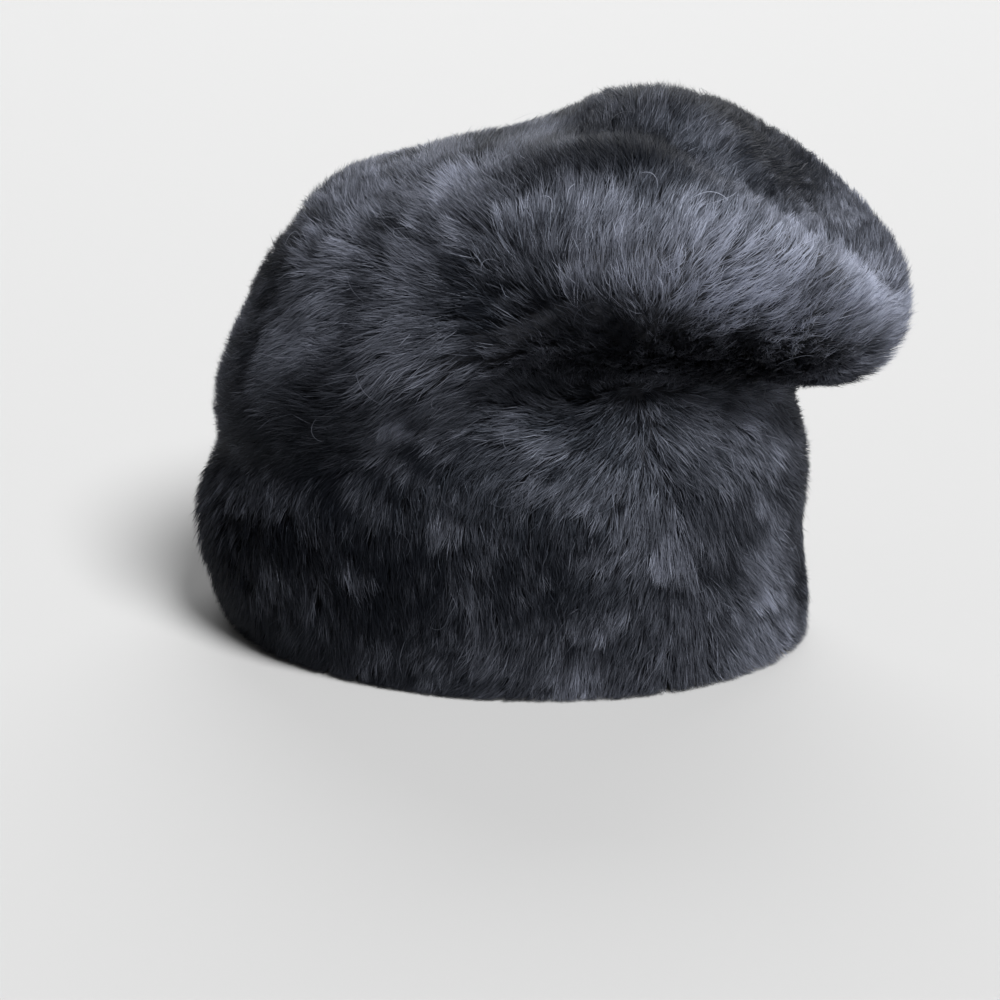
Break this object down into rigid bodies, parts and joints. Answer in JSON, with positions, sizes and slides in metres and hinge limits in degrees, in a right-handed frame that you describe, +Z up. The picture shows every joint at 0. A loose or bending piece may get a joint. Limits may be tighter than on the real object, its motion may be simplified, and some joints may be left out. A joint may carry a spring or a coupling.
{
  "type": "slouchy fur beanie",
  "caption": "Slouchy pull-on beanie of dark plush fur: round head band, folded bag crown hanging over to one side.",
  "frame": {"origin": "bottom centre of the bounding box, on the floor under the rim", "axes": "+X towards the overhanging end of the crown, +Y towards the far side away from the pictured one, +Z up out of the head"},
  "size_m": [0.2686, 0.1966, 0.2043],
  "materials": {
    "band_fur": "matte",
    "crown_fur": "matte"
  },
  "bodies": {
    "root": {"fur_band": "band_fur", "fur_crown": "crown_fur"}
  },
  "joints": []
}
